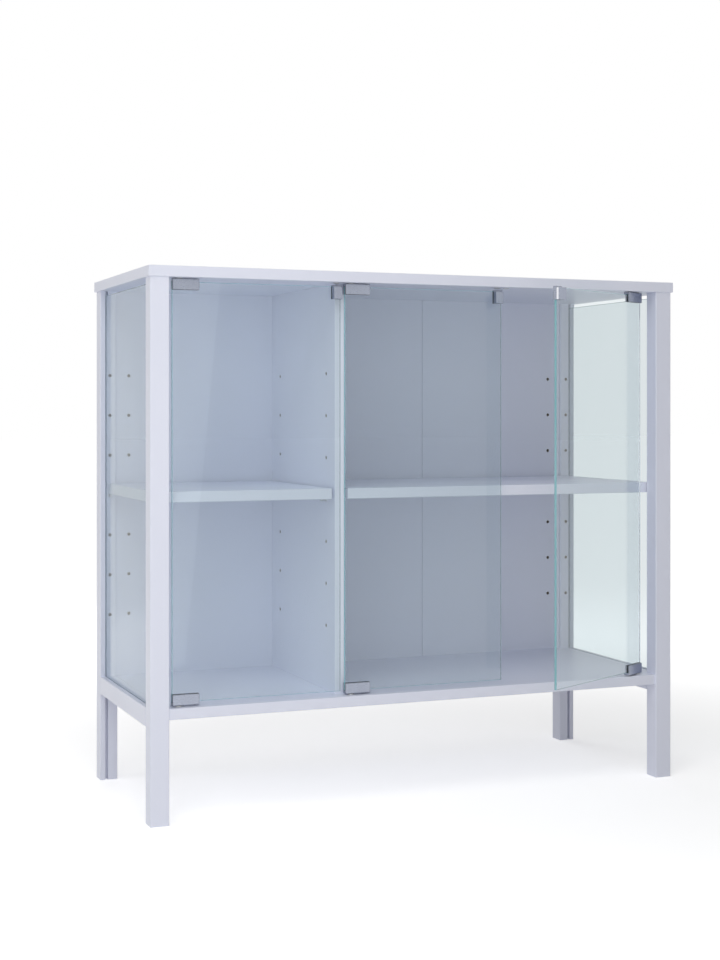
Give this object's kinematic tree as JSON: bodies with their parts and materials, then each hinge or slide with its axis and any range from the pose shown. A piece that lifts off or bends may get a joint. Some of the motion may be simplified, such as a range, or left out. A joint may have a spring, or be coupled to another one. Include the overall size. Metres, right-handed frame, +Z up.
{
  "type": "bookcase with glass doors",
  "caption": "Low display bookcase on tall square posts, with glass sides, pivoting frameless glass doors, a divider and movable shelves.",
  "frame": {"origin": "on the floor, under the centre of the overall box, which includes the right door standing open", "axes": "+X to the right of someone facing the doors, +Y from the doors to the back, +Z up"},
  "size_m": [0.87, 0.4522, 0.8],
  "materials": {
    "white_laminate": "smooth white laminate, satin",
    "door_glass": "clear float glass, polished edges",
    "side_glass": "clear float glass, polished edges",
    "clip_chrome": "satin chrome plate",
    "steel_pins": "zinc plate",
    "dark_steel": "dark oxide",
    "magnet_steel": "nickel plate",
    "nylon": "moulded, natural white",
    "dark_liner": "soft, dark grey",
    "beech": "fluted, raw"
  },
  "bodies": {
    "carcass": {"top_panel": "white_laminate", "bottom_panel": "white_laminate", "divider_panel": "white_laminate", "back_panel_left": "white_laminate", "back_panel_middle": "white_laminate", "back_panel_right": "white_laminate", "shelf_left": "white_laminate", "shelf_right": "white_laminate", "post_front_left": "white_laminate", "post_rear_left": "white_laminate", "side_rail_left": "white_laminate", "post_front_right": "white_laminate", "post_rear_right": "white_laminate", "side_rail_right": "white_laminate", "side_glass_left": "side_glass", "side_glass_right": "side_glass", "shelf_pins_left": "steel_pins", "shelf_pins_right": "steel_pins", "pivot_bushes_top": "nylon", "pivot_bushes_bottom": "nylon", "catch_magnets": "magnet_steel", "wood_dowels": "beech", "floor_screws": "steel_pins"},
    "door_left": {"door_left_glass": "door_glass", "door_left_clip_top": "clip_chrome", "door_left_clip_bottom": "clip_chrome", "door_left_strike_cap": "clip_chrome", "door_left_pads": "dark_liner", "door_left_grub_screws": "dark_steel", "door_left_pivot_pins": "steel_pins"},
    "door_middle": {"door_middle_glass": "door_glass", "door_middle_clip_top": "clip_chrome", "door_middle_clip_bottom": "clip_chrome", "door_middle_strike_cap": "clip_chrome", "door_middle_pads": "dark_liner", "door_middle_grub_screws": "dark_steel", "door_middle_pivot_pins": "steel_pins"},
    "door_right": {"door_right_glass": "door_glass", "door_right_clip_top": "clip_chrome", "door_right_clip_bottom": "clip_chrome", "door_right_strike_cap": "clip_chrome", "door_right_pads": "dark_liner", "door_right_grub_screws": "dark_steel", "door_right_pivot_pins": "steel_pins"}
  },
  "joints": [
    {"name": "door_left_hinge", "type": "hinge", "parent": "carcass", "child": "door_left", "pos_m": [-0.386, -0.10386, 0.475], "axis": [0, 0, -1], "range_deg": [0, 105]},
    {"name": "door_middle_hinge", "type": "hinge", "parent": "carcass", "child": "door_middle", "pos_m": [-0.11917, -0.10386, 0.475], "axis": [0, 0, -1], "range_deg": [0, 105]},
    {"name": "door_right_hinge", "type": "hinge", "parent": "carcass", "child": "door_right", "pos_m": [0.378, -0.10386, 0.475], "axis": [0, 0, 1], "range_deg": [-28.7, 76.3]}
  ]
}
